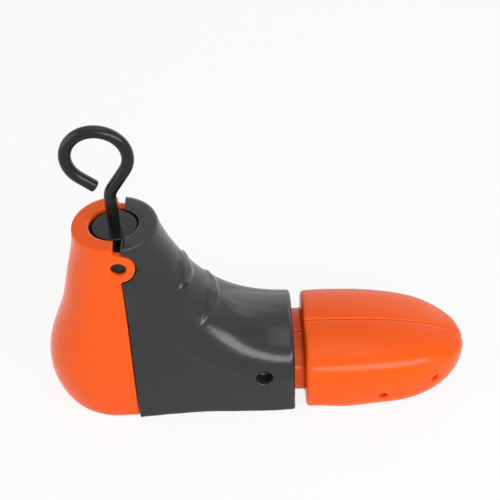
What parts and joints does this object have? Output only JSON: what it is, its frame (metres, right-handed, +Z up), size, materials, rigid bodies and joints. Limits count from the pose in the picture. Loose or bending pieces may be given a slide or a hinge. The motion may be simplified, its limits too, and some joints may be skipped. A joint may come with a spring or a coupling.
{
  "type": "shoe stretcher",
  "caption": "Foot-shaped plastic shoe stretcher: a hooked crank drives a wedge that swings the heel block out and spreads a split toe block.",
  "frame": {"origin": "middle of the part's length and width, on the plane that the sole rests on", "axes": "+X from the heel to the toe, +Y across to the left side, +Z up along the crank spindle"},
  "size_m": [0.2405, 0.072, 0.1805],
  "materials": {
    "orange_plastic": "gloss",
    "grey_plastic": "gloss",
    "black_metal": "gloss",
    "bright_steel": "satin",
    "bearing_brass": "satin",
    "black_nylon": "matte"
  },
  "bodies": {
    "instep": {"instep_shell": "grey_plastic", "sole_plate": "grey_plastic", "sole_screws": "bright_steel", "hinge_pin_left": "black_metal", "hinge_pin_right": "black_metal", "spindle_bush": "bearing_brass", "rod_guide": "bearing_brass", "toe_pin_left": "bright_steel", "toe_pin_right": "bright_steel"},
    "spindle": {"crank_hook": "black_metal", "crank_disc": "black_metal", "thrust_washer": "bright_steel", "retaining_clip": "bright_steel", "stop_nut": "bright_steel"},
    "wedge": {"wedge_nut": "black_nylon", "nut_insert": "bearing_brass"},
    "heel": {"heel_shell": "orange_plastic", "heel_roller": "bright_steel"},
    "pusher": {"push_block": "black_nylon", "push_roller": "bright_steel", "push_rod": "bright_steel", "spreader_wedge": "black_nylon"},
    "right_toe": {"toe_right": "orange_plastic", "cam_pin_right": "bright_steel"},
    "left_toe": {"toe_left": "orange_plastic", "cam_pin_left": "bright_steel"}
  },
  "joints": [
    {"name": "spindle_turn", "type": "hinge", "parent": "instep", "child": "spindle", "pos_m": [-0.0722, 0, 0.11], "axis": [0, 0, -1], "range_deg": [0, 4320]},
    {"name": "wedge_slide", "type": "slide", "parent": "instep", "child": "wedge", "axis": [0, 0, -1], "range_m": [0, 0.024]},
    {"name": "heel_swing", "type": "hinge", "parent": "instep", "child": "heel", "pos_m": [-0.0702, 0, 0.1062], "axis": [0, 1, 0], "range_deg": [0, 6]},
    {"name": "push_slide", "type": "slide", "parent": "instep", "child": "pusher", "axis": [1, 0, 0], "range_m": [0, 0.007]},
    {"name": "right_toe_swing", "type": "hinge", "parent": "instep", "child": "right_toe", "pos_m": [0.0138, -0.012, 0.02], "axis": [0, 0, -1], "range_deg": [0, 5]},
    {"name": "left_toe_swing", "type": "hinge", "parent": "instep", "child": "left_toe", "pos_m": [0.0138, 0.012, 0.02], "axis": [0, 0, 1], "range_deg": [0, 5]}
  ],
  "couplings": [
    {"joint": "wedge_slide", "follows": "spindle_turn", "m_per_rad": 0.0003183},
    {"joint": "heel_swing", "follows": "spindle_turn", "ratio": 0.0013888},
    {"joint": "push_slide", "follows": "spindle_turn", "m_per_rad": 0.00009284},
    {"joint": "right_toe_swing", "follows": "spindle_turn", "ratio": 0.0011574},
    {"joint": "left_toe_swing", "follows": "spindle_turn", "ratio": 0.0011574}
  ]
}
